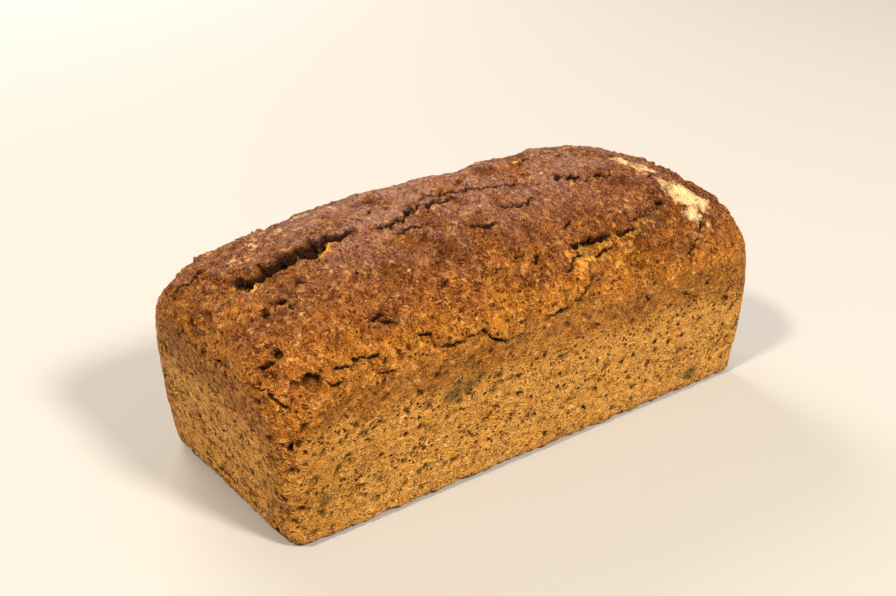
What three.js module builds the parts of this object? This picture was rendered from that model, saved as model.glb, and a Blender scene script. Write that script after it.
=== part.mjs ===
// A tin loaf: about a kilogram of wholegrain rye bread, baked as one piece in a long straight-sided tin.
// Below the rim line the tin held the dough, so the walls are straight and lean out a little towards the top.
// Above it the dough rose free, into a crown that is fullest near one end and torn along its top.
// Millimetres, +Z up. The origin is the middle of the base, and X runs along the loaf.
import * as THREE from "three";

// Driving dimensions.
const length = 245; // over the rim line, along X
const width = 112; // over the rim line, along Y
const rimHeight = 61; // where the dough left the tin
const crownRise = 45; // from the rim line to the middle of the crown
const crownTilt = 0.05; // share by which the crown is higher towards +X and lower towards -X
const wallDraft = 6.5; // how far each wall leans in from the rim to the base
const cornerRadiusBase = 7; // upright corners where they meet the base, from the tin
const cornerRadiusRim = 22; // and at the rim, where the dough no longer filled the tin's corners
const cornerRadiusCrown = 30; // and high on the crown
const baseRadius = 4; // edge round the base, from the tin

// How boxy the crown is: 2 is an ellipse, and more is flatter on top with a tighter shoulder.
const crownPowerAlong = 2.3;
const crownPowerAcross = 1.5;

// The grid of the faces, in cells.
const cellsAcross = 36;
const cellsUp = 12;
const rowCrowding = 1.6; // draws the wall's rows together towards the base, where its edge is round

// Soft swells that the dough kept as it set: [height, wavelength along X, wavelength along Y, phase].
const swells = [
  [0.9, 96, 70, 0.4],
  [0.6, 47, 58, 2.1],
  [0.5, 31, 37, 4.0],
];
const wallSwell = 0.35; // share of the swells left on the walls, where the tin pressed them flat

// Tears along the crown, seen from above: from one end to the other, how wide, how deep.
const tears = [
  { from: [-108, 3], to: [-66, -13], width: 7, depth: 3.4 },
  { from: [-56, -17], to: [-14, -12], width: 5, depth: 1.6 },
  { from: [-30, -7], to: [16, -16], width: 4, depth: 1.2 },
  { from: [28, -16], to: [62, -25], width: 5, depth: 1.6 },
  { from: [20, -42], to: [66, -40], width: 6, depth: 2.2 },
];

const { clamp, lerp } = THREE.MathUtils;

// How far out a superellipse still reaches, as a share, once it has risen by the share free.
function reachAt(free, power) {
  return Math.pow(Math.max(0, 1 - Math.pow(free, power)), 1 / power);
}

// The wall's profile at t, from 0 at the base to 1 at the rim: how high, and how far in from the rim line.
function wallProfile(t) {
  const roundLength = (baseRadius * Math.PI) / 2;
  const along = t * (roundLength + rimHeight - baseRadius);
  const angle = Math.min(along / baseRadius, Math.PI / 2);
  const z = baseRadius * (1 - Math.cos(angle)) + Math.max(0, along - roundLength);
  const inset = baseRadius * (1 - Math.sin(angle)) + wallDraft * (1 - z / rimHeight);
  return { z, inset };
}

// A point of the square (u, v), each from -1 to 1, put into a rectangle with round corners.
function inOutline(u, v, halfLength, halfWidth, cornerRadius) {
  const radius = Math.min(cornerRadius, halfLength, halfWidth);
  const [x, y] = [u * halfLength, v * halfWidth];
  const coreX = clamp(x, radius - halfLength, halfLength - radius);
  const coreY = clamp(y, radius - halfWidth, halfWidth - radius);
  const [dx, dy] = [x - coreX, y - coreY];
  const reach = Math.hypot(dx, dy);
  const turn = reach > 0 ? Math.max(Math.abs(dx), Math.abs(dy)) / reach : 1;
  return [coreX + dx * turn, coreY + dy * turn];
}

// The same in the walls' outline at height z, where they lean in by inset.
function inWalls(u, v, z, inset) {
  const radius = lerp(cornerRadiusBase, cornerRadiusRim, Math.pow(Math.min(1, z / rimHeight), 3));
  return inOutline(u, v, length / 2 - inset, width / 2 - inset, radius);
}

// How far the dough swells up or sinks at (x, y).
function swellAt(x, y) {
  let sum = 0;
  for (const [height, waveX, waveY, phase] of swells) {
    sum += height * Math.sin((2 * Math.PI * x) / waveX + phase) * Math.cos((2 * Math.PI * y) / waveY + phase);
  }
  return sum;
}

// How deep the tears cut at (x, y). Each fades out towards its ends.
function tearAt(x, y) {
  const at = new THREE.Vector2(x, y);
  let deepest = 0;
  for (const { from, to, width: gap, depth } of tears) {
    const start = new THREE.Vector2(...from);
    const run = new THREE.Vector2(...to).sub(start);
    const share = clamp(at.clone().sub(start).dot(run) / run.lengthSq(), 0, 1);
    const off = at.distanceTo(start.addScaledVector(run, share));
    const fade = Math.sqrt(Math.sin(Math.PI * clamp(share, 0.04, 0.96)));
    deepest = Math.max(deepest, depth * fade * Math.exp(-Math.pow((2 * off) / gap, 2)));
  }
  return deepest;
}

// The crown is a stack of level outlines, each square ring of the grid being one of them.
function crownPoint(u, v) {
  const ring = Math.max(Math.abs(u), Math.abs(v));
  const free = Math.max(0, Math.cos((ring * Math.PI) / 2));
  const halfLength = (length / 2) * reachAt(free, crownPowerAlong);
  const halfWidth = (width / 2) * reachAt(free, crownPowerAcross);
  const radius = lerp(cornerRadiusRim, cornerRadiusCrown, free);
  const [x, y] = ring > 0 ? inOutline(u / ring, v / ring, halfLength, halfWidth, radius) : [0, 0];
  const rise = crownRise * free * (1 + (crownTilt * x) / (length / 2));
  return [x, y, rimHeight + rise + free * swellAt(x, y) - Math.min(1, 2 * free) * tearAt(x, y)];
}

function wallPoint(u, v, t) {
  const up = Math.pow(t, rowCrowding);
  const { z, inset } = wallProfile(up);
  const awayFromCorner = 1 - Math.pow(Math.min(Math.abs(u), Math.abs(v)), 4);
  const swell = swellAt((u * length) / 2, (v * width) / 2 + z);
  const out = wallSwell * Math.sin(Math.PI * up) * awayFromCorner * swell;
  return [...inWalls(u, v, z, inset - out), z];
}

function basePoint(u, v) {
  const { inset } = wallProfile(0);
  return [...inWalls(u, v, 0, inset), 0];
}

// A cube with a grid on each face, its points moved onto the loaf.
function loafGeometry() {
  const geometry = new THREE.BoxGeometry(2, 2, 2, cellsAcross, cellsAcross, cellsUp);
  const position = geometry.getAttribute("position");
  for (let i = 0; i < position.count; i++) {
    const [u, v, w] = [position.getX(i), position.getY(i), position.getZ(i)];
    const onTop = w > 1 - 1e-6;
    const onBase = w < 1e-6 - 1;
    const point = onTop ? crownPoint(u, v) : onBase ? basePoint(u, v) : wallPoint(u, v, (w + 1) / 2);
    position.setXYZ(i, ...point);
  }
  geometry.computeBoundingBox();
  const { min, max } = geometry.boundingBox;
  geometry.translate(-(min.x + max.x) / 2, -(min.y + max.y) / 2, -min.z);
  geometry.computeVertexNormals();
  return geometry;
}

const crust = new THREE.MeshStandardMaterial({ color: 0xa86a34, roughness: 0.85, metalness: 0 });

const loaf = new THREE.Mesh(loafGeometry(), crust);
loaf.name = "loaf";

const tinLoaf = new THREE.Group();
tinLoaf.add(loaf);

export default tinLoaf;
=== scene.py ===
import math
import random

import bmesh
import bpy
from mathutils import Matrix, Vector, noise
from mathutils.bvhtree import BVHTree
from mathutils.kdtree import KDTree


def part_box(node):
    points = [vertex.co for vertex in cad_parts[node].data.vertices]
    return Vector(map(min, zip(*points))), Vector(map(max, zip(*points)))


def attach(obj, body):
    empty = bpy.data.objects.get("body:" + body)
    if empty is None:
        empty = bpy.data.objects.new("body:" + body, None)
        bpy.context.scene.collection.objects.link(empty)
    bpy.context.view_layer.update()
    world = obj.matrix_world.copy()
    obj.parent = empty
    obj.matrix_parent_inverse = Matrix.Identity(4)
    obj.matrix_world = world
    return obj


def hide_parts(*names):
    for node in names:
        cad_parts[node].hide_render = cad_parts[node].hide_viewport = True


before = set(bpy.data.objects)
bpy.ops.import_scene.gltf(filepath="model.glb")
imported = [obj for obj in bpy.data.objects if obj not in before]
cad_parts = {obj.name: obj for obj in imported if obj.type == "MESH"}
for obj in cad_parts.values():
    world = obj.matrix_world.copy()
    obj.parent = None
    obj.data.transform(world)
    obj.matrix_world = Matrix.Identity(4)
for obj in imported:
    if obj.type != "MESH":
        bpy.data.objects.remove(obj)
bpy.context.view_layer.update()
mm = 0.001


# The camera. It stands in front of the loaf and towards its lower end, a little above it, and looks down
# at its near corner, with the long front wall going away to the right.

look_at = Vector((4.5, 20.2, 41.8)) * mm
turned = math.radians(-37.1)
raised = math.radians(24.3)
away = 523.7 * mm

lens = bpy.data.cameras.new("camera")
lens.sensor_width = 36
lens.lens = 48
lens.clip_start = 0.01
camera = bpy.data.objects.new("camera", lens)
bpy.context.scene.collection.objects.link(camera)
sideways = math.cos(raised)
towards_camera = Vector((math.sin(turned) * sideways, -math.cos(turned) * sideways, math.sin(raised)))
camera.location = look_at + towards_camera * away
camera.rotation_euler = towards_camera.to_track_quat("Z", "Y").to_euler()
bpy.context.scene.camera = camera


# The loaf's body. It is one piece of rye dough: the tin pressed the lower part straight and flat, and above
# the rim line the dough rose free into a crown. It starts as a cube, cut into a grid and moved onto the loaf.

low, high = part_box("loaf")
length = (high[0] - low[0]) / mm
width = (high[1] - low[1]) / mm
rim_height = 61.0  # where the dough left the tin
crown_rise = 45.0  # from there to the middle of the crown
crown_tilt = 0.05  # share by which the crown is higher towards +X and lower towards -X
wall_draft = 6.5  # how far each wall leans in from the rim to the base
corner_radius_base = 7.0
corner_radius_rim = 22.0
corner_radius_crown = 30.0
base_radius = 4.0  # the edge round the base
crown_power_along = 2.3  # how boxy the crown is: 2 is an ellipse, and more is flatter on top
crown_power_across = 1.5
swells = [(0.9, 96, 70, 0.4), (0.6, 47, 58, 2.1), (0.5, 31, 37, 4.0)]  # height, the two wavelengths, phase
wall_swell = 0.35  # share of the swells left on the walls, where the tin pressed them flat


def swell_at(x, y):
    total = 0.0
    for tall, wave_x, wave_y, phase in swells:
        total += tall * math.sin(math.tau * x / wave_x + phase) * math.cos(math.tau * y / wave_y + phase)
    return total


def in_outline(u, v, half_length, half_width, corner_radius):
    """A point of the square (u, v), each from -1 to 1, put into a rectangle with round corners."""
    radius = min(corner_radius, half_length, half_width)
    x, y = u * half_length, v * half_width
    core_x = max(radius - half_length, min(half_length - radius, x))
    core_y = max(radius - half_width, min(half_width - radius, y))
    dx, dy = x - core_x, y - core_y
    reach = math.hypot(dx, dy)
    turn = max(abs(dx), abs(dy)) / reach if reach > 0 else 1
    return core_x + dx * turn, core_y + dy * turn


def crown_point(u, v):
    ring = max(abs(u), abs(v))
    if ring < 1e-6:
        return Vector((0, 0, rim_height + crown_rise + swell_at(0, 0)))
    free = max(0.0, math.cos(ring * math.pi / 2))
    half_length = length / 2 * (1 - free**crown_power_along) ** (1 / crown_power_along)
    half_width = width / 2 * (1 - free**crown_power_across) ** (1 / crown_power_across)
    radius = corner_radius_rim + (corner_radius_crown - corner_radius_rim) * free
    x, y = in_outline(u / ring, v / ring, half_length, half_width, radius)
    rise = crown_rise * free * (1 + crown_tilt * x / (length / 2))
    return Vector((x, y, rim_height + rise + free * swell_at(x, y)))


def wall_point(u, v, t):
    round_length = base_radius * math.pi / 2
    along = t * (round_length + rim_height - base_radius)
    angle = min(along / base_radius, math.pi / 2)
    z = base_radius * (1 - math.cos(angle)) + max(0.0, along - round_length)
    inset = base_radius * (1 - math.sin(angle)) + wall_draft * (1 - z / rim_height)
    away_from_corner = 1 - min(abs(u), abs(v)) ** 4
    swell = swell_at(u * length / 2, v * width / 2 + z)
    inset -= wall_swell * math.sin(math.pi * t) * away_from_corner * swell
    radius = corner_radius_base + (corner_radius_rim - corner_radius_base) * (z / rim_height) ** 3
    x, y = in_outline(u, v, length / 2 - inset, width / 2 - inset, radius)
    return Vector((x, y, z))


def loaf_point(cube_point):
    """Where a point of the cube, each way from -1 to 1, lies on the loaf, in millimetres."""
    u, v, w = cube_point
    if w > 1 - 1e-6:
        return crown_point(u, v)
    return wall_point(u, v, max(0.0, (w + 1) / 2))


cells = (80, 40, 18)  # along X, Y and Z
bm = bmesh.new()
bmesh.ops.create_cube(bm, size=2)
for axis, count in enumerate(cells):
    along_axis = [e for e in bm.edges if abs(e.verts[0].co[axis] - e.verts[1].co[axis]) > 1]
    bmesh.ops.subdivide_edges(bm, edges=along_axis, cuts=count - 1, use_grid_fill=True)

plain = bm.copy()
for vert in plain.verts:
    vert.co = loaf_point(vert.co)
plain.normal_update()
skin = BVHTree.FromBMesh(plain)
plain.free()


# The tears. The crust set before the crumb had finished rising, and tore: along the crown, and where the
# crown meets the wall that the tin held. The upper lip lifts and hangs over the gap, and the slope below it
# is bare crumb.


class Tear:
    """One tear, as close-set stations along a path that wanders over the skin.

    gap and depth are its size. lip is how far its edges lift, overhang how far the upper one leans over it,
    and step how far the crust above it stands proud. slope is how many times wider its lower side is, and
    bare how much crumb shows there. wander bends its path, and ragged roughens its edges.
    """

    station_length = 0.5

    def __init__(self, path, gap, depth, lip=0.5, overhang=0.6, slope=1.0, bare=0.3, wander=0.7, ragged=0.6,
                 step=0.0):
        points = [Vector(p) for p in path]
        self.stations = []
        self.gaping = gap >= 3.5  # so wide that its floor shows from end to end
        self.open = gap > 2.9  # wide enough to see into
        spread = []
        for start, end in zip(points, points[1:]):
            steps = max(2, round((end - start).length / self.station_length))
            spread += [start.lerp(end, i / steps) for i in range(steps)]
        spread.append(points[-1])
        seed = Vector((gap * 7.1, depth * 3.3, points[0].x))
        placed = []
        for i, point in enumerate(spread):
            at, normal, _, _ = skin.find_nearest(point)
            run = spread[min(i + 2, len(spread) - 1)] - spread[max(i - 2, 0)]
            side = normal.cross(run).normalized()
            slow = noise.noise(point / 6 + seed)
            quick = noise.noise(point / 2.4 + seed * 2)
            at = at + side * wander * (1.6 * slow + 1.5 * quick)
            at, normal, _, _ = skin.find_nearest(at)
            placed.append((at, normal))

        # The lip is the uphill side, or the one nearer the middle of the loaf where the skin lies level.
        sides = []
        for i, (at, normal) in enumerate(placed):
            run = placed[min(i + 2, len(placed) - 1)][0] - placed[max(i - 2, 0)][0]
            sides.append(normal.cross(run).normalized())
        uphill = sum(side.z - 0.3 * side.dot(normal.xy.to_3d()) for side, (_, normal) in zip(sides, placed))
        for i, (at, normal) in enumerate(placed):
            side = sides[i] if uphill > 0 else -sides[i]
            share = i / (len(placed) - 1)
            fade = min(1.0, 5 * share, 5 * (1 - share)) ** 0.7
            if self.gaping:
                vary = 0.85 + 0.5 * noise.noise(at / 8 + seed)
            else:
                vary = 0.72 + 1.0 * noise.noise(at / 4.5 + seed * 3)
            is_end = i in (0, len(placed) - 1)
            self.stations.append((at, normal, side, fade * max(0.15, vary), is_end))
        self.gap = gap
        self.depth = depth
        self.lip = lip
        self.overhang = overhang
        self.slope = slope
        self.bare = bare
        self.ragged = ragged
        self.step = step


tears = [
    # Along the crown, from the low end to the high one.
    Tear([(-108, 3, 85), (-103, -5, 87), (-98, -6, 90), (-91, -10, 93), (-85, -10, 95), (-73, -11, 98),
          (-62, -13, 99)],
         gap=3.8, depth=3.9, lip=0.9, overhang=1.7, slope=2.3, bare=0.9, wander=1.2, ragged=1.3, step=2.4),
    Tear([(-58, -17, 99), (-47, -17, 101), (-34, -11, 102), (-23, -11, 102), (-14, -14, 102)],
         gap=2.1, depth=2.2, lip=0.6, overhang=0.9, slope=1.4, bare=0.4, wander=1.2, ragged=1.0, step=1.2),
    Tear([(-32, -7, 103), (-16, -8, 103), (-4, -12, 103), (14, -16, 102)],
         gap=1.9, depth=1.7, lip=0.5, overhang=0.7, wander=1.1, ragged=0.9, step=0.8),
    Tear([(29, -16, 102), (42, -20, 100), (52, -21, 99), (62, -25, 97)],
         gap=1.9, depth=1.7, lip=0.5, overhang=0.7, wander=1.0, ragged=0.9, step=0.7),
    Tear([(-52, -23, 97), (-43, -21, 98), (-34, -22, 98)],
         gap=1.5, depth=1.3, lip=0.4, overhang=0.4, wander=1.0),
    Tear([(-4, -22, 98), (8, -24, 97), (16, -23, 98)], gap=1.5, depth=1.2, lip=0.4, overhang=0.4, wander=1.0),
    Tear([(-21, -26, 95), (-14, -28, 95), (-7, -29, 94)],
         gap=2.2, depth=1.2, lip=0.4, overhang=0.3, wander=0.8),
    Tear([(-119, 29, 75), (-115, 24, 78), (-109, 20, 84)], gap=2.0, depth=1.5, lip=0.6, overhang=0.6),
    # The open one high on the front, over a patch of bare crumb.
    Tear([(17, -42, 83), (24, -42, 83), (32, -42, 83), (40, -43, 83)],
         gap=3.2, depth=3.4, lip=0.9, overhang=1.5, slope=2.4, bare=1.0, wander=0.7, ragged=1.3, step=1.6),
    Tear([(43, -43, 83), (51, -43, 83), (57, -40, 86), (64, -39, 86)],
         gap=3.0, depth=3.0, lip=0.7, overhang=1.0, slope=2.0, bare=0.9, wander=1.0, ragged=1.3, step=1.2),
    Tear([(26, -47, 79), (33, -47, 79), (38, -46, 80)],
         gap=2.0, depth=1.8, lip=0.5, overhang=0.4, wander=0.8),
    Tear([(10, -49, 76), (15, -46, 79), (22, -46, 80)],
         gap=2.2, depth=2.0, lip=0.6, overhang=0.4, wander=0.8),
    # A crack down the shoulder, nearer the high end.
    Tear([(90, -45, 80), (84, -50, 75), (78, -52, 71), (73, -53, 68)],
         gap=2.4, depth=2.6, lip=0.6, overhang=0.5, wander=0.7),
    # Along the front, where the crown meets the wall.
    Tear([(-92, -51, 71), (-86, -52, 70), (-79, -52, 70)],
         gap=1.9, depth=2.1, lip=0.9, overhang=0.7, wander=0.5),
    Tear([(-63, -51, 72), (-58, -52, 71), (-58, -53, 68), (-57, -54, 66)],
         gap=2.0, depth=2.2, lip=0.8, overhang=0.7, wander=0.3),
    Tear([(-57, -54, 66), (-49, -55, 65), (-45, -55, 66), (-36, -54, 67), (-31, -55, 63), (-26, -56, 60),
          (-19, -56, 61), (-16, -56, 62), (-18, -54, 67)],
         gap=2.4, depth=2.8, lip=1.1, overhang=1.0, wander=0.5, ragged=0.9, step=0.8),
    Tear([(-6, -55, 64), (-3, -55, 64), (1, -55, 64), (6, -55, 65), (10, -54, 66), (16, -53, 69),
          (21, -52, 72)],
         gap=2.2, depth=2.5, lip=1.2, overhang=0.9, wander=0.6, ragged=0.9, step=0.8),
    Tear([(-84, -55, 65), (-75, -56, 63)], gap=1.7, depth=1.6, lip=0.4, overhang=0.5, wander=0.3),
    Tear([(-102, -54, 65), (-96, -54, 65)], gap=1.7, depth=1.6, lip=0.4, overhang=0.5, wander=0.3),
    Tear([(-99, -52, 70), (-92, -53, 69)], gap=1.8, depth=1.7, lip=0.5, overhang=0.5, wander=0.3),
    # A scratch on the front wall, near the far corner.
    Tear([(109, -53, 40), (106, -53, 37), (103, -53, 33)],
         gap=1.9, depth=1.8, lip=0.2, overhang=0.1, wander=0.1, ragged=0.2),
    # Round the near corner and across the near end.
    Tear([(-122, -30, 67), (-122, -36, 65), (-120, -43, 65)],
         gap=2.2, depth=2.4, lip=0.8, overhang=0.8, wander=0.4),
    Tear([(-120, -43, 65), (-119, -46, 62), (-117, -49, 60), (-115, -51, 58)],
         gap=2.4, depth=1.5, lip=0.4, overhang=0.4, slope=1.4, wander=0.4),
    Tear([(-122, -9, 63), (-122, -15, 64), (-122, -22, 65)],
         gap=2.5, depth=2.6, lip=0.5, overhang=0.6, wander=0.3),
    Tear([(-116, -50, 43), (-115, -51, 48), (-115, -51, 52)],
         gap=2.1, depth=1.7, lip=0.2, overhang=0.0, wander=0.4),
]

# The back and the far end tore at the rim line as the front did.
tears += [
    Tear([(96, 52, 68), (80, 54, 66), (66, 54, 68), (52, 55, 64), (40, 55, 65)],
         gap=2.2, depth=2.5, lip=0.9, overhang=0.8, wander=0.6),
    Tear([(28, 54, 67), (14, 55, 65), (2, 54, 67)], gap=1.8, depth=2.2, lip=0.8, overhang=0.6, wander=0.5),
    Tear([(-20, 54, 67), (-38, 55, 65), (-52, 53, 69), (-66, 54, 66)],
         gap=2.2, depth=2.5, lip=0.8, overhang=0.8, wander=0.6),
    Tear([(-84, 54, 66), (-96, 53, 66)], gap=1.5, depth=1.8, lip=0.5, overhang=0.5, wander=0.4),
    Tear([(70, 32, 93), (50, 35, 92), (34, 33, 94)],
         gap=2.1, depth=1.8, lip=0.6, overhang=0.7, slope=1.6, bare=0.4),
    Tear([(-30, 38, 88), (-52, 34, 89)], gap=1.7, depth=1.5, lip=0.5, overhang=0.6, wander=0.9),
    Tear([(121, 38, 66), (122, 22, 65), (122, 10, 67), (122, -6, 64)],
         gap=2.2, depth=2.3, lip=0.8, overhang=0.8, wander=0.6),
    Tear([(122, -20, 66), (121, -34, 67)], gap=1.6, depth=1.8, lip=0.5, overhang=0.6, wander=0.4),
]

# Short ones, wherever else the crown's crust gave way, but none that runs into a longer one.
dice = random.Random(11)
short_tears = 90
apart = 8
known = [station[0] for tear in tears for station in tear.stations]
for _ in range(short_tears):
    across, along = dice.uniform(-0.93, 0.93), dice.uniform(-0.93, 0.93)
    middle = loaf_point((along, across, 1.0))
    heading = dice.gauss(0.1, 0.5)
    reach = dice.uniform(1.2, 4.0) * Vector((math.cos(heading), math.sin(heading), 0))
    tear = Tear([middle - reach, middle + reach], gap=dice.uniform(1.4, 2.8), depth=dice.uniform(1.2, 2.4),
                lip=dice.uniform(0.2, 0.6), overhang=dice.uniform(0.1, 0.5), wander=0.8)
    if min((middle - place).length for place in known) > apart:
        tears.append(tear)

stations = [(tear, station) for tear in tears for station in tear.stations]
near_tear = KDTree(len(stations))
for i, (tear, station) in enumerate(stations):
    near_tear.insert(station[0], i)
near_tear.balance()


# The bubbles that broke at the skin. Some are large enough to see into. On the walls the tin left them open,
# as small pores drawn out sideways where the dough slid up the tin.


class Bubble:
    """One broken bubble: how far it reaches along and across, how deep it is, and how high its rim stands."""

    def __init__(self, near, along, across, depth, tilt=0.0, rim=0.0):
        self.at, normal, _, _ = skin.find_nearest(Vector(near))
        level = Vector((0, 0, 1)).cross(normal)
        level = level.normalized() if level.length > 0.05 else Vector((1, 0, 0))
        climb = normal.cross(level)
        self.along_way = level * math.cos(tilt) + climb * math.sin(tilt)
        self.across_way = normal.cross(self.along_way)
        self.along = along
        self.across = across
        self.depth = depth
        self.rim = rim
        self.open = min(along, across) > 1.25  # wide enough for a steep wall and a floor

    def how_near(self, point):
        """0 at the middle of the bubble and 1 at its rim."""
        way = point - self.at
        return math.hypot(way.dot(self.along_way) / self.along, way.dot(self.across_way) / self.across)


bubbles = [
    # On the near corner's shoulder.
    Bubble((-107, -52, 67), 3.4, 3.6, 3.2, rim=0.9),
    Bubble((-103, -51, 70), 0.9, 0.9, 1.6),
    Bubble((-113, -40, 75), 1.9, 1.6, 3.2, rim=0.2),
    Bubble((-116, -41, 73), 1.3, 0.8, 1.2, tilt=0.6),
    Bubble((-119, -38, 70), 1.5, 1.3, 2.6, rim=0.2),
    Bubble((-118, -42, 68), 2.4, 2.2, 1.1),
    Bubble((-120, -40, 66), 1.0, 1.0, 1.6),
    # High on the crown.
    Bubble((-103, -25, 86), 2.3, 1.5, 2.6, tilt=0.3, rim=0.2),
    Bubble((-109, -24, 83), 2.5, 1.4, 2.6, tilt=-0.2, rim=0.2),
    Bubble((-14, -28, 95), 2.2, 1.1, 1.8),
    # On the front wall.
    Bubble((-80, -55, 54), 2.0, 1.2, 1.7, tilt=0.6),
    Bubble((-112, -53, 52), 2.4, 1.0, 1.5, tilt=1.1),
    Bubble((-106, -54, 46), 1.4, 1.0, 1.3),
    Bubble((-97, -55, 51), 2.2, 1.4, 1.0),
    Bubble((-19, -54, 41), 2.2, 1.3, 1.5, rim=0.2),
    Bubble((-16, -53, 33), 1.7, 1.2, 1.5),
    Bubble((4, -53, 35), 1.3, 1.3, 1.3),
    Bubble((-118, -46, 17), 2.2, 1.3, 1.2, tilt=-0.6),
    # The near end: a ring of crust round an oval pore, and a cluster high up beside it.
    Bubble((-122, -2, 62), 1.6, 2.2, 1.3, tilt=0.4, rim=0.5),
    Bubble((-121, 12, 69), 0.9, 0.8, 1.4),
    Bubble((-121, 9, 69), 1.0, 0.8, 1.4),
    Bubble((-121, 6, 69), 0.9, 0.8, 1.4),
    Bubble((-121, 3, 68), 1.6, 1.1, 1.6),
    Bubble((-122, 19, 62), 2.0, 0.9, 1.4),
]


def on_side(side):
    """A chance point of the cube, on its front, back, near end, far end or top."""
    a, b = dice.uniform(-1, 1), dice.uniform(-1, 1)
    places = {"front": (a, -1, b), "back": (a, 1, b), "near": (-1, a, b), "far": (1, a, b), "top": (a, b, 1)}
    return places[side]


by_hand = list(bubbles)
pores = {"front": 240, "back": 210, "near": 180, "far": 140, "top": 110}
for side, count in pores.items():
    for _ in range(count):
        size = 0.7 + 0.7 * dice.random() ** 2.5
        if side in ("top", "near", "far"):
            size *= 0.85
        place = loaf_point(on_side(side))
        bubble = Bubble(place, size * dice.uniform(1.0, 1.9), size * dice.uniform(0.75, 1.1),
                        size * dice.uniform(0.7, 1.3), tilt=dice.gauss(0.25, 0.5))
        if all((bubble.at - other.at).length > 3 + other.along for other in by_hand):
            bubbles.append(bubble)

near_bubble = KDTree(len(bubbles))
for i, bubble in enumerate(bubbles):
    near_bubble.insert(bubble.at, i)
near_bubble.balance()
rim_reach = 1.2  # how far past the widest bubble its rim is still felt
widest_bubble = max(max(bubble.along, bubble.across) for bubble in bubbles) + rim_reach


# The crust. The grid is cut finer where there is more to shape: evenly over what shows, and more in the tears
# and the bubbles. The base, which lay flat on the tin, stays coarse.


def ease(value):
    value = max(0.0, min(1.0, value))
    return value * value * (3 - 2 * value)


edge_on_base = 9.0
edge_on_crown = 1.5
edge_on_walls = 2.05
edge_in_tear, edge_in_open_tear = 0.66, 0.5
edge_in_bubble, edge_in_open_bubble = 0.78, 0.45
edge_slack = 1.35  # how much longer than wanted an edge may be and still stay whole
most_cuts = 5
flat = 0.01  # a point lower than this is on the base


def wanted_size(at):
    """How long an edge may be at a point of the loaf, in millimetres."""
    if at.z < flat:
        return edge_on_base
    _, i, gap = near_tear.find(at)
    tear = stations[i][0]
    if gap < tear.gap * (0.4 + tear.slope * 0.4) + 0.8:
        return edge_in_open_tear if tear.open else edge_in_tear
    _, i, _ = near_bubble.find(at)
    bubble = bubbles[i]
    if bubble.how_near(at) < 1.2:
        return edge_in_open_bubble if bubble.open else edge_in_bubble
    return edge_on_crown + (edge_on_walls - edge_on_crown) * ease((rim_height + 5 - at.z) / 8)


bmesh.ops.triangulate(bm, faces=bm.faces)
for _ in range(most_cuts):
    bm.verts.index_update()
    placed = {}
    long_edges = []
    for edge in bm.edges:
        ends = []
        for vert in edge.verts:
            if vert.index not in placed:
                placed[vert.index] = loaf_point(vert.co)
            ends.append(placed[vert.index])
        if (ends[0] - ends[1]).length > edge_slack * wanted_size((ends[0] + ends[1]) / 2):
            long_edges.append(edge)
    if not long_edges:
        break
    bmesh.ops.subdivide_edges(bm, edges=long_edges, cuts=1)
    bmesh.ops.triangulate(bm, faces=[face for face in bm.faces if len(face.verts) > 3])

for vert in bm.verts:
    vert.co = loaf_point(vert.co)
bm.normal_update()

baked = bm.verts.layers.float.new("baked")  # 0 on the walls, 1 on top of the crown
torn = bm.verts.layers.float.new("torn")  # painted shade in a tear: 1 down at its bottom
hollow = bm.verts.layers.float.new("hollow")  # painted shade in a bubble: 1 where it is darkest
crumb = bm.verts.layers.float.new("crumb")  # 1 where crumb shows bare
flour = bm.verts.layers.float.new("flour")  # 1 where flour lies thick
stained = bm.verts.layers.float.new("stained")  # 1 on a grey-green mark from the tin
darker = bm.verts.layers.float.new("darker")  # 1 where the oven caught it most
crest = bm.verts.layers.float.new("crest")  # 1 along the very top
coarse = bm.verts.layers.float.new("coarse")  # 1 on the end walls, where the skin stayed more open

# Rounded knobs of dough between the tears on the front shoulder: where, how wide, how high.
knobs = [((-17, -55, 65), 6, 1.8), ((18, -50, 77), 8, 2.8), ((25, -52, 73), 6, 2.0),
         ((7, -53, 71), 6, 2.2), ((45, -48, 78), 7, 2.0), ((-40, -53, 72), 9, 1.6),
         ((-70, -51, 75), 8, 1.4), ((-22, -45, 83), 8, 1.8), ((-3, -44, 84), 7, 1.8),
         ((62, -49, 77), 7, 1.6), ((32, -51, 71), 5, 1.6), ((15, -54, 68), 4, 1.3),
         ((-9, -52, 73), 6, 1.8), ((-28, -51, 74), 6, 1.6), ((2, -49, 78), 5, 1.6),
         ((36, -46, 81), 5, 1.6)]
# Where flour lies thick at the high end, and thin pale flecks along the back of the crown at the low end: a
# point, how far it spreads, how thick.
flour_spots = [((88, -36, 88), 9, 1.0), ((94, -40, 84), 7, 0.9), ((86, -43, 82), 6, 0.8),
               ((84, -50, 75), 5, 0.45), ((80, -30, 93), 6, 0.75), ((80, -20, 96), 7, 0.75),
               ((76, -10, 100), 9, 0.7), ((92, -48, 76), 4, 0.35), ((-91, 17, 91), 7, 0.36),
               ((-101, 11, 88), 6, 0.34), ((-83, 13, 95), 6, 0.34), ((-71, 15, 98), 6, 0.36),
               ((-57, 14, 100), 6, 0.34)]
# Where the oven caught it most: a point, how far round it, how strongly.
toasted = [((50, -51, 73), 13, 1.0), ((66, -46, 78), 14, 0.5), ((-60, -40, 88), 14, 0.3),
           ((-98, -52, 62), 12, 0.2), ((-20, -36, 91), 12, 0.3), ((100, -30, 84), 12, 0.35),
           ((-118, 18, 77), 22, 0.5), ((-100, -52, 25), 26, 0.4), ((-50, -55, 55), 16, 0.35),
           ((-92, -44, 80), 16, 0.3), ((-52, -50, 74), 10, 0.3), ((-14, -51, 73), 12, 0.35)]
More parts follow.
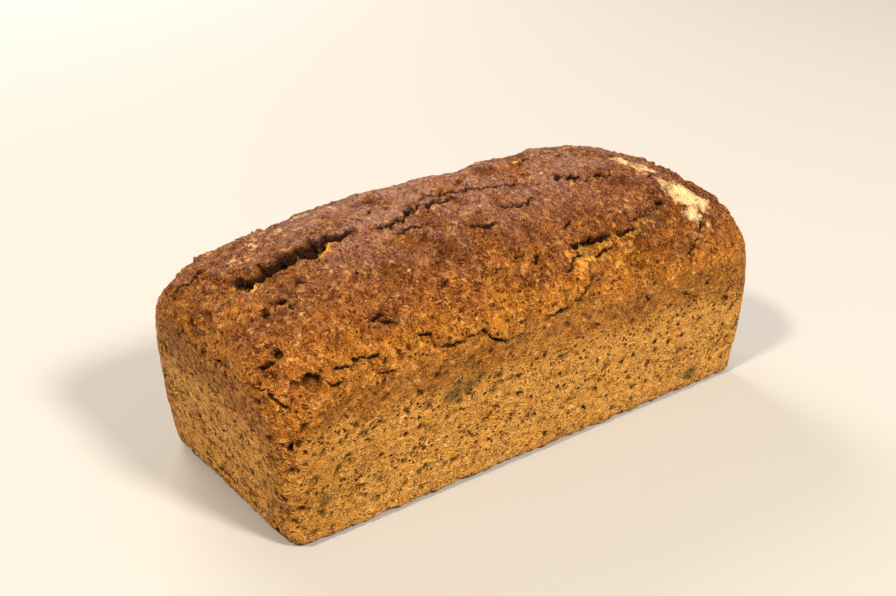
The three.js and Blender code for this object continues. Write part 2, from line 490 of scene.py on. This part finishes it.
# Where crumb shows through below the open tear: a point, how far it spreads, how bare.
bare_spots = [((22, -45, 80), 7, 0.62), ((17, -47, 78), 6, 0.55), ((32, -46, 80), 5, 0.5),
              ((44, -45, 81), 5, 0.4), ((36, -51, 73), 5, 0.3)]
# Grey-green marks from the tin: a point, how far it spreads.
stains = [((86, -50, 8), 6), ((-42, -54, 46), 6), ((-49, -54, 45), 6), ((-36, -54, 48), 4),
          ((-104, -52, 19), 4)]
base_baked = 0.15
shoulder = 22  # height over which the walls' flat skin gives way to the crown's
step_reach = 16  # how far beyond a tear its step is still felt
tear_reach = 4  # and how far beyond its gap its lips are
corner_reach = 26  # how far from an upright corner the crust is browned more


for vert in bm.verts:
    at = vert.co.copy()
    normal = vert.normal.copy()
    if at.z < flat and normal.z < -0.9:
        vert[baked] = base_baked
        continue
    free = ease((at.z - rim_height + 4) / shoulder)  # 0 on the walls, 1 where the dough rose free
    off_base = ease(at.z / 6)

    # Lumps as broad as a thumb, then ones as broad as a pea, then grain, and clods with creases between them.
    # They are strongest on the shoulder, and calmer on the walls and along the top. The edge round the base
    # is crumbly.
    lumps = noise.fractal(at / 17, 0.8, 2.0, 2)
    peas = noise.fractal(at / 6.5 + Vector((9, 4, 2)), 0.7, 2.0, 2)
    grain = noise.fractal(at / 3.0 + Vector((1, 7, 5)), 0.6, 2.1, 2)
    nearest, second = noise.voronoi(at / 7 + 0.5 * Vector((peas, grain, lumps)))[0][:2]
    clods = 0.5 - nearest - 0.5 * ease(1 - (second - nearest) / 0.22)
    rough = (0.15 + 0.85 * free) * lumps + (0.18 + 0.85 * free) * peas + (0.22 + 0.50 * free) * grain
    rough += (0.10 + 1.05 * free) * clods
    rough *= 1 - 0.35 * ease((at.z - 86) / 12)
    rough += (1 - off_base) * (0.5 * peas + 0.5 * grain)
    for spot, spread, tall in knobs:
        rough += tall * ease(1.1 - (at - Vector(spot)).length / spread)
    move = normal * rough

    # How far it is baked. The high end browned lower down, and the upright corners more than the walls.
    higher = at.z + 5 * ease((at.x - 10) / 80)
    done = 0.30 * ease((higher - 38) / 20) + 0.70 * ease((higher - 58) / 42)
    from_corner = math.hypot(length / 2 - abs(at.x), width / 2 - abs(at.y))
    corner = max(0.0, 1 - from_corner / corner_reach)
    # The base edge browns a little more, and the near end is painted a little darker, as painted shade.
    done += 0.16 * corner + 0.05 * ease(1 - at.z / 7) + 0.05 * ease((-at.x - 104) / 16)
    for spot, spread, strong in toasted:
        vert[darker] = max(vert[darker], strong * ease(1.3 - (at - Vector(spot)).length / spread))
    vert[baked] = max(0.0, min(1.0, done + 0.16 * lumps * free + 0.05 * peas))
    vert[crest] = ease((at.z - 88) / 16)
    vert[coarse] = ease((abs(normal.x) - 0.4) / 0.4) * (1 - free)

    # The nearest tear: the skin goes down into it, lifts beside it, and the upper lip leans over it.
    _, i, gap = near_tear.find(at)
    tear, (middle, up, side, strength, is_end) = stations[i]
    uneven = 0.0 if tear.gaping else 0.5 * noise.noise(at / 1.7 + Vector((7, 7, 7)))
    half = tear.gap / 2 * (0.6 + 0.5 * strength) * (1 + uneven)
    offset = (at - middle).dot(side)  # above 0 on the lip's side, below it on the slope's
    if tear.step and gap < step_reach:
        move += normal * tear.step * strength * ease((offset + 1) / 2) * ease(1 - gap / step_reach)
    if gap < half * tear.slope + tear_reach:
        past = (at - middle).dot(up.cross(side))  # how far beyond an end of the tear
        if not is_end:
            offset, past = math.copysign(math.hypot(offset, past), offset), 0.0
        nibbled = 0.2 if tear.gaping else 0.6
        offset += tear.ragged * (1.3 * noise.noise(at / 3.7) + nibbled * noise.noise(at / 1.5))
        fade = strength * ease(1.4 - abs(past) / 1.2)
        reach = half if offset > 0 else half * tear.slope
        share = 1 - abs(offset) / max(0.2, reach)  # 0 at the gap's edge, 1 along its middle
        into = ease(1.7 * share)
        lift = math.exp(-(((abs(offset) - reach - 0.5) / 1.3) ** 2))
        move -= up * tear.depth * into * fade
        move += up * tear.lip * lift * fade * (1.0 if offset > 0 else 0.35)
        if offset > 0:
            lean = math.exp(-(((offset - half * 0.7) / (half * 1.1 + 0.3)) ** 2))
            move -= side * tear.overhang * fade * lean
        # Painted shade down in the tear: it starts at the gap's edge on the lip's side, and further in on the
        # slope's side.
        shut = 0.0 if offset > 0 else 0.1 + 0.5 * ease(tear.slope - 1)
        vert[torn] = ease(3.0 * (share - shut)) * min(1.0, 2.4 * fade)
        if offset < 0:
            vert[crumb] = tear.bare * fade * ease(1.5 - abs(offset) / max(0.2, reach))

    # The bubbles, with painted shade in them. An open one is painted dark under its upper edge, where shade
    # falls, and lighter on its floor and lower edge, where the light reaches; a small one is painted darker
    # towards its middle.
    for _, i, _ in near_bubble.find_range(at, widest_bubble):
        bubble = bubbles[i]
        near = bubble.how_near(at) + 0.18 * grain + 0.1 * peas
        if near < 1:
            near = max(0.0, near)
            share = 1 - near**8 if bubble.open else math.sqrt(1 - near * near)
            move -= normal * bubble.depth * share
            if bubble.open:
                above = (at.z - bubble.at.z) / bubble.across
                dark = 0.45 + 0.55 * ease(0.3 + 1.1 * above + 0.8 * (near - 0.5))
                dark *= min(1.0, 1.25 * bubble.depth / bubble.along)
            else:
                dark = share * min(1.0, bubble.depth)
            vert[hollow] = max(vert[hollow], dark)
        elif near < 1.6 and bubble.rim:
            move += normal * bubble.rim * math.exp(-(((near - 1.12) / 0.2) ** 2))

    # The marks on the skin, each with a ragged edge.
    for spot, spread, thick in flour_spots:
        distance = (at - Vector(spot)).length + 2.0 * peas
        vert[flour] = max(vert[flour], thick * ease(1.25 - distance / spread))
    for spot, spread, strong in bare_spots:
        distance = (at - Vector(spot)).length + 3 * grain
        vert[crumb] = max(vert[crumb], strong * ease(1.25 - distance / spread))
    for spot, spread in stains:
        distance = (at - Vector(spot)).length + 2 * grain
        vert[stained] = max(vert[stained], ease(1.2 - distance / spread))

    vert.co = at + move
    vert.co.z = max(vert.co.z, 0.0)

bmesh.ops.scale(bm, vec=(mm, mm, mm), verts=bm.verts)
for face in bm.faces:
    face.smooth = True
crust_mesh = bpy.data.meshes.new("loaf_crust")
bm.to_mesh(crust_mesh)
bm.free()
loaf = bpy.data.objects.new("loaf_crust", crust_mesh)
bpy.context.scene.collection.objects.link(loaf)


class Shade:
    """A number, a colour or a direction on its way through a shader, so that shader maths reads as maths."""

    def __init__(self, tree, socket=None):
        self.tree = tree
        self.socket = socket

    def node(self, kind, settings=None, inputs=None, output=0):
        made = self.tree.nodes.new(kind)
        for name, value in (settings or {}).items():
            if name == "stops":
                ramp = made.color_ramp
                while len(ramp.elements) < len(value):
                    ramp.elements.new(0.5)
                for element, (position, colour) in zip(ramp.elements, value):
                    element.position = position
                    element.color = colour
            else:
                setattr(made, name, value)
        for name, value in (inputs or {}).items():
            if isinstance(value, Shade):
                self.tree.links.new(value.socket, made.inputs[name])
            else:
                made.inputs[name].default_value = value
        return Shade(self.tree, made.outputs[output]) if made.outputs else None

    def maths(self, operation, *values, clamp=False):
        inputs = dict(enumerate((self, *values)))
        return self.node("ShaderNodeMath", {"operation": operation, "use_clamp": clamp}, inputs)

    def __add__(self, other):
        return self.maths("ADD", other)

    __radd__ = __add__

    def __sub__(self, other):
        return self.maths("SUBTRACT", other)

    def __rsub__(self, other):
        return self.maths("MULTIPLY", -1.0).maths("ADD", other)

    def __mul__(self, other):
        return self.maths("MULTIPLY", other)

    __rmul__ = __mul__

    def kept(self):
        """The same number, kept between 0 and 1."""
        return self.maths("ADD", 0.0, clamp=True)

    def step(self, start, end):
        """0 below start and 1 above end, with an even ramp between them."""
        return self.node("ShaderNodeMapRange", {"clamp": True}, {0: self, 1: start, 2: end, 3: 0.0, 4: 1.0})

    def over(self, under, colour, blend="MIX"):
        """A colour laid over another where this number is 1."""
        return self.node("ShaderNodeMix", {"data_type": "RGBA", "blend_type": blend},
                         {0: self, 6: under, 7: colour}, output=2)


def paint(red, green, blue):
    """A colour as a paint chart gives it, 0 to 255, for a shader."""
    def linear(value):
        value /= 255
        return value / 12.92 if value <= 0.04045 else ((value + 0.055) / 1.055) ** 2.4
    return (linear(red), linear(green), linear(blue), 1.0)


crust = bpy.data.materials.new("baked rye crust")
crust.use_nodes = True
crust.node_tree.nodes.clear()
shade = Shade(crust.node_tree)
where = shade.node("ShaderNodeTexCoord", output="Object")


def attribute(name):
    return shade.node("ShaderNodeAttribute", {"attribute_name": name}, output="Fac")


def stretched(scale):
    """The loaf's own coordinates, in millimetres, with each way stretched."""
    return shade.node("ShaderNodeMapping", {}, {"Vector": where, "Scale": tuple(1000 * s for s in scale)})


even = stretched((1, 1, 1))
laid = stretched((0.95, 0.75, 1.05))  # drawn out level, as the dough slid up the tin


def clouds(scale, detail, roughness=0.5, vector=even):
    return shade.node("ShaderNodeTexNoise", {}, {"Vector": vector, "Scale": scale, "Detail": detail,
                                                 "Roughness": roughness}, output="Fac")


broad = clouds(1 / 26, 2.0)
middling = clouds(1 / 8, 3.0)
grain = clouds(1 / 2.9, 4.0, 0.70, laid)
fine = clouds(1 / 0.9, 2.0, 0.7)
standing = (grain * 0.6 + fine * 0.4 + (middling - 0.5) * 0.12 - 0.5) * (1 + attribute("coarse") * 0.5) + 0.5

# How far it is baked, with ragged edges between the zones: pale walls that darken up to the rim line, a gold
# band above it, and then darker again up to the top.
done = (attribute("baked") + (middling - 0.5) * 0.45 + (broad - 0.5) * 0.35 + (grain - 0.5) * 0.5).kept()
colour = shade.node("ShaderNodeValToRGB", {"stops": [
    (0.00, paint(200, 142, 62)),
    (0.16, paint(184, 124, 50)),
    (0.29, paint(148, 93, 34)),
    (0.44, paint(168, 105, 36)),
    (0.60, paint(146, 87, 33)),
    (0.80, paint(129, 76, 32)),
    (1.00, paint(116, 68, 34)),
]}, {"Fac": done})

# Darker and lighter blotches on the crown, then the places that the oven caught.
tone = clouds(1 / 12, 3.0, 0.6)
high = attribute("baked").step(0.35, 0.7)
colour = (tone.step(0.49, 0.60) * high * 0.8).over(colour, (0.68, 0.61, 0.54, 1.0), "MULTIPLY")
colour = (tone.step(0.50, 0.40) * high * 0.7).over(colour, (1.24, 1.22, 1.05, 1.0), "MULTIPLY")
colour = attribute("darker").over(colour, (0.62, 0.56, 0.48, 1.0), "MULTIPLY")

# Patches of smooth skin high on the crown, painted grey-brown as a painted sheen, strongest along the very
# top.
smooth = clouds(1 / 15, 4.0, 0.55).step(0.40, 0.54) * (0.15 + attribute("crest") * 0.85)
smooth = smooth * (1 - attribute("crumb")).kept()
smooth = smooth * attribute("baked").step(0.5, 0.9)
# The painted sheen on the smooth patches.
colour = (smooth * 0.8).over(colour, paint(142, 98, 76))
lively = 1 - smooth * 0.3

# Mottling: the grain that stands up is painted paler, as painted light on its tops, and the skin between it
# darker, as painted shade.
colour = (standing.step(0.50, 0.62) * lively * 0.55).over(colour, (1.42, 1.62, 2.3, 1.0), "MULTIPLY")
colour = ((1 - standing.step(0.36, 0.50)) * lively * 0.7).over(colour, (0.38, 0.27, 0.17, 1.0), "MULTIPLY")


# The skin dried in short curled wrinkles, with a painted highlight along their tops and painted shade beside
# them.
def strokes(size, height, thin, broken):
    """1 along thin curled lines: how far apart, at which height of a swell, how thin, how long unbroken."""
    swell = clouds(1 / size, 1.0, 0.5, laid)
    line = (1 - ((swell - height) * thin).maths("ABSOLUTE")).kept()
    return line * clouds(1 / broken, 1.0, 0.5).step(0.46, 0.54)


wrinkle_glint = strokes(2.6, 0.53, 15, 4.1).maths("MAXIMUM", strokes(1.7, 0.55, 11, 3.3))
wrinkle_shade = strokes(2.6, 0.46, 15, 4.1).maths("MAXIMUM", strokes(1.7, 0.48, 11, 3.3))
risen = attribute("baked").step(0.3, 0.6)  # 0 on the walls, 1 on the crown
# On the crown the finest grain is painted paler where it stands up, as painted glints, and darker where it
# lies low, as painted shade.
fine_glint = fine.step(0.54, 0.66) * risen
fine_shade = fine.step(0.46, 0.34) * risen
colour = (fine_glint * 0.6).over(colour, (1.5, 1.65, 1.8, 1.0), "MULTIPLY")
colour = (fine_shade * 0.6).over(colour, (0.52, 0.42, 0.34, 1.0), "MULTIPLY")
crisp = (0.8 + risen * 0.2 + attribute("coarse") * 0.2).kept()
# Painted highlights along the wrinkles' tops, then painted shade beside them.
colour = (wrinkle_glint * crisp * lively).over(colour, (1.60, 1.95, 2.9, 1.0), "MULTIPLY")
colour = (wrinkle_shade * crisp * lively).over(colour, (0.32, 0.20, 0.11, 1.0), "MULTIPLY")

# Flakes of bran, a few of them pale and more of them dark.
flakes = {"Vector": stretched((0.4, 0.8, 1.1)), "Scale": 1 / 2.2, "Randomness": 1.0}
flake_near = shade.node("ShaderNodeTexVoronoi", {"feature": "F1"}, flakes)
flake_kind = shade.node("ShaderNodeSeparateColor", {}, {"Color": shade.node(
    "ShaderNodeTexVoronoi", {"feature": "F1"}, flakes, output="Color")})
pale_flake = flake_kind.step(0.985, 0.99) * (1 - flake_near.step(0.20, 0.32))
dark_flake = (1 - flake_kind.step(0.10, 0.14)) * (1 - flake_near.step(0.25, 0.42))
colour = (pale_flake * 0.7).over(colour, paint(232, 178, 98))
colour = (dark_flake * 0.5).over(colour, paint(96, 56, 24))

# Pores too small to be shaped, drawn as painted shade and as dents in the bump: some a millimetre or two
# wide, and many smaller ones.
wobble = shade.node("ShaderNodeTexNoise", {}, {"Vector": even, "Scale": 1 / 1.4, "Detail": 1.0},
                    output="Color")
bent = shade.node("ShaderNodeVectorMath", {"operation": "MULTIPLY_ADD"},
                  {0: wobble, 1: (1.1, 1.1, 1.1), 2: laid})


def pore(spacing, widest, kept_from):
    """1 in the pores of one size: the distance between their places, and how wide the widest are."""
    places = {"Vector": bent, "Scale": 1 / spacing, "Randomness": 1.0}
    near = shade.node("ShaderNodeTexVoronoi", {"feature": "F1"}, places)
    kind = shade.node("ShaderNodeSeparateColor", {}, {"Color": shade.node(
        "ShaderNodeTexVoronoi", {"feature": "F1"}, places, output="Color")}, output=1)
    kept = kind.step(kept_from, 1.0) * (1 + attribute("coarse") * 0.1)
    return (kept * (widest / spacing) - near).step(0.0, 0.05)


shaded_pores = pore(3.9, 1.2, 0.5).maths("MAXIMUM", pore(1.9, 0.8, 0.42))
shaded_pores = shaded_pores * (1.3 - attribute("baked") * 0.9).kept()
# The small pores are painted dark, as painted shade in the holes, less so on the crown.
colour = (shaded_pores * 0.92).over(colour, paint(58, 26, 10))

# Bare crumb, painted shade in the bubbles and the tears, stains and flour.
crumbs = (attribute("crumb") * 1.6 + (grain - 0.5) * 3.0 - 0.1).kept()
crumb_colour = grain.step(0.40, 0.58).over(paint(84, 52, 16), paint(212, 152, 66))
colour = crumbs.over(colour, crumb_colour)
# Painted shade in the bubbles.
colour = (attribute("hollow") * 0.92).over(colour, paint(46, 23, 8))
# Painted shade down in the tears.
colour = (attribute("torn") * 0.95).over(colour, paint(32, 15, 7))
blotched = (attribute("stained") + (grain - 0.5) * 2.5).kept() * attribute("stained")
colour = (blotched * 0.8).over(colour, paint(66, 58, 32))
dusted = (attribute("flour") * 1.5 + (grain - 0.5) * 3.0 + (middling - 0.5) * 1.0 - 0.42).kept()
colour = (dusted * 0.9).over(colour, paint(246, 208, 152))

# The skin's grain, as a height in millimetres.
relief = (grain - 0.5) * 2.6 + (fine - 0.5) * 1.0 + (wrinkle_glint - wrinkle_shade) * 0.3 - shaded_pores * 0.9
bump = shade.node("ShaderNodeBump", {}, {"Strength": 1.0, "Distance": 0.001, "Height": relief})
dullness = (0.46 + (fine - 0.5) * 1.6 + dusted * 0.3).kept()

surface = shade.node("ShaderNodeBsdfPrincipled", {}, {
    "Base Color": colour, "Roughness": dullness, "Normal": bump, "Specular IOR Level": 0.05})
shade.node("ShaderNodeOutputMaterial", {}, {"Surface": surface})
crust_mesh.materials.append(crust)

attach(loaf, "root")
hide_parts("loaf")


# The floor, a plain pale sheet of card, and the light: a warm lamp at the front, a smaller and warmer one at
# the left, a broad one behind that catches the crown, and a room that is evenly warm and pale.

bm = bmesh.new()
floor_reach = 30  # metres each way
bmesh.ops.create_grid(bm, x_segments=1, y_segments=1, size=floor_reach)
floor_mesh = bpy.data.meshes.new("floor")
bm.to_mesh(floor_mesh)
bm.free()
floor = bpy.data.objects.new("floor", floor_mesh)
floor.location.z = -0.2 * mm  # just clear of the base
bpy.context.scene.collection.objects.link(floor)
card = bpy.data.materials.new("pale card")
card.use_nodes = True
card.node_tree.nodes["Principled BSDF"].inputs["Base Color"].default_value = paint(172, 170, 168)
card.node_tree.nodes["Principled BSDF"].inputs["Roughness"].default_value = 0.9
floor_mesh.materials.append(card)


def lamp(name, place, size, watts, colour):
    light = bpy.data.lights.new(name, "AREA")
    light.shape = "DISK"
    light.size = size
    light.energy = watts
    light.color = colour
    stand = bpy.data.objects.new(name, light)
    stand.location = place
    middle_of_loaf = Vector((0, 0, 0.05))
    stand.rotation_euler = (Vector(place) - middle_of_loaf).to_track_quat("Z", "Y").to_euler()
    bpy.context.scene.collection.objects.link(stand)


lamp("key", (0.4, -2.0, 1.75), 0.5, 97, (1.0, 0.92, 0.80))
lamp("side", (-1.6, -0.4, 1.9), 0.3, 57, (1.0, 0.88, 0.70))
lamp("behind", (0.3, 1.9, 1.2), 1.2, 50, (1.0, 0.93, 0.86))

room = bpy.data.worlds.new("room")
room.use_nodes = True
room.node_tree.nodes["Background"].inputs["Color"].default_value = (1.0, 0.89, 0.76, 1.0)
room.node_tree.nodes["Background"].inputs["Strength"].default_value = 0.36
bpy.context.scene.world = room
bpy.context.scene.view_settings.view_transform = "Standard"
